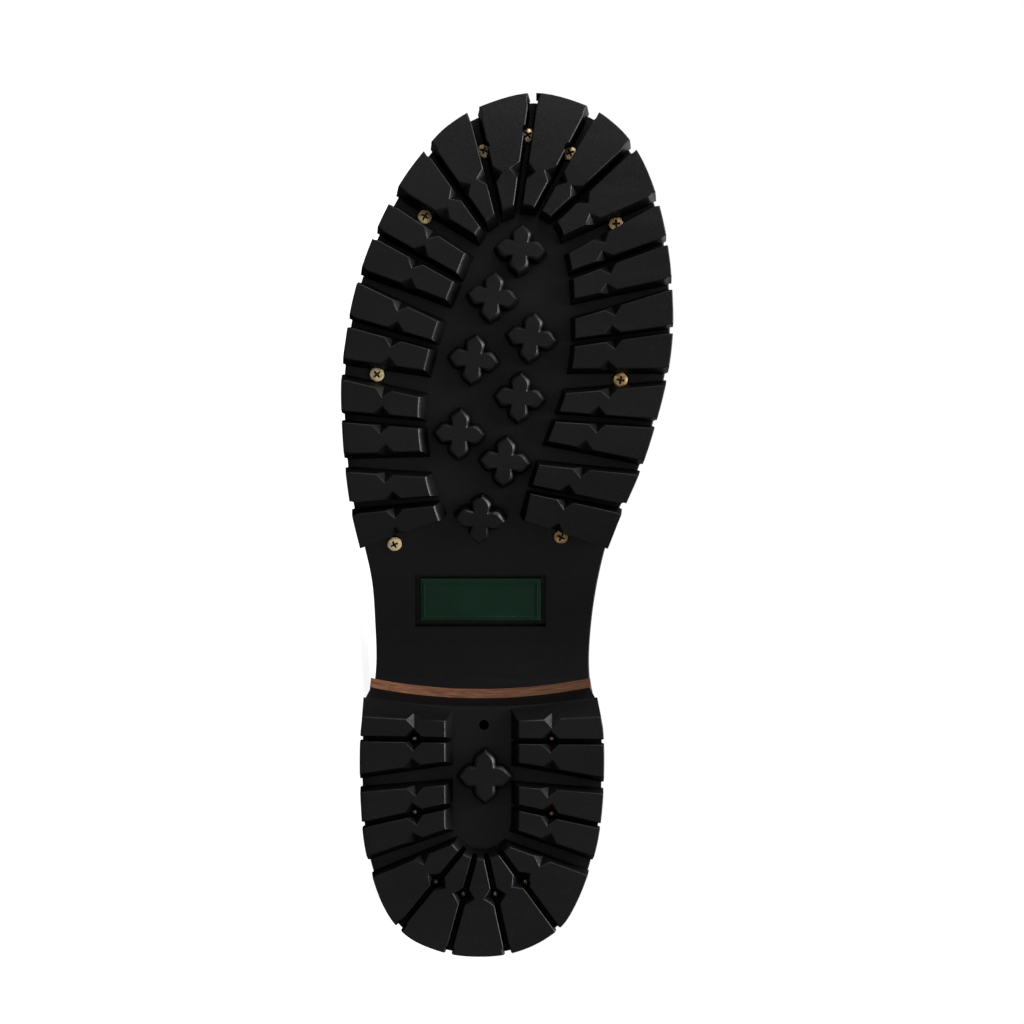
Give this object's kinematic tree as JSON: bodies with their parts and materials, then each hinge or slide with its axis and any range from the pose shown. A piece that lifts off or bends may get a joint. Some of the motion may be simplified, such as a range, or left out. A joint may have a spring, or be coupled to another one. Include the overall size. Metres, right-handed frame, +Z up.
{
  "type": "logger boot",
  "caption": "Right-foot lace-up logger boot lying on its outer side: lug outsole with star lugs, high lugged heel with a leather lift, hollow leather upper, tongue and lace.",
  "frame": {"origin": "on the floor, under the middle of the boot as it lies on its outer side", "axes": "+X runs from the toe towards the heel, +Y from the tread up the shaft, +Z up from the outer side of the foot to the inner side"},
  "size_m": [0.3046, 0.2896, 0.119],
  "materials": {
    "tread_rubber": "satin black moulded rubber",
    "panel_rubber": "dark green moulded rubber, bare",
    "screw_brass": "worn brass",
    "nail_brass": "dull brass",
    "eyelet_brass": "antique brass",
    "lift_leather": "cut leather edge",
    "welt_leather": "stained leather with a stitched top",
    "insole_leather": "natural leather footbed",
    "upper_leather": "oiled dark brown leather",
    "lace_cord": "round braided lace"
  },
  "bodies": {
    "root": {"outsole": "tread_rubber", "heel": "tread_rubber", "badge": "panel_rubber", "heel_lift": "lift_leather", "welt": "welt_leather", "insole": "insole_leather", "upper": "upper_leather", "tongue": "upper_leather", "lace": "lace_cord", "screw_1": "screw_brass", "screw_2": "screw_brass", "screw_3": "screw_brass", "screw_4": "screw_brass", "screw_5": "screw_brass", "screw_6": "screw_brass", "screw_7": "screw_brass", "screw_8": "screw_brass", "screw_9": "screw_brass", "heel_nail_1": "nail_brass", "heel_nail_2": "nail_brass", "heel_nail_3": "nail_brass", "heel_nail_4": "nail_brass", "heel_nail_5": "nail_brass", "heel_nail_6": "nail_brass", "heel_nail_7": "nail_brass", "heel_nail_8": "nail_brass", "eyelet_outer_1": "eyelet_brass", "eyelet_outer_2": "eyelet_brass", "eyelet_outer_3": "eyelet_brass", "eyelet_outer_4": "eyelet_brass", "eyelet_outer_5": "eyelet_brass", "eyelet_outer_6": "eyelet_brass", "eyelet_outer_7": "eyelet_brass", "eyelet_outer_8": "eyelet_brass", "eyelet_inner_1": "eyelet_brass", "eyelet_inner_2": "eyelet_brass", "eyelet_inner_3": "eyelet_brass", "eyelet_inner_4": "eyelet_brass", "eyelet_inner_5": "eyelet_brass", "eyelet_inner_6": "eyelet_brass", "eyelet_inner_7": "eyelet_brass", "eyelet_inner_8": "eyelet_brass"}
  },
  "joints": []
}
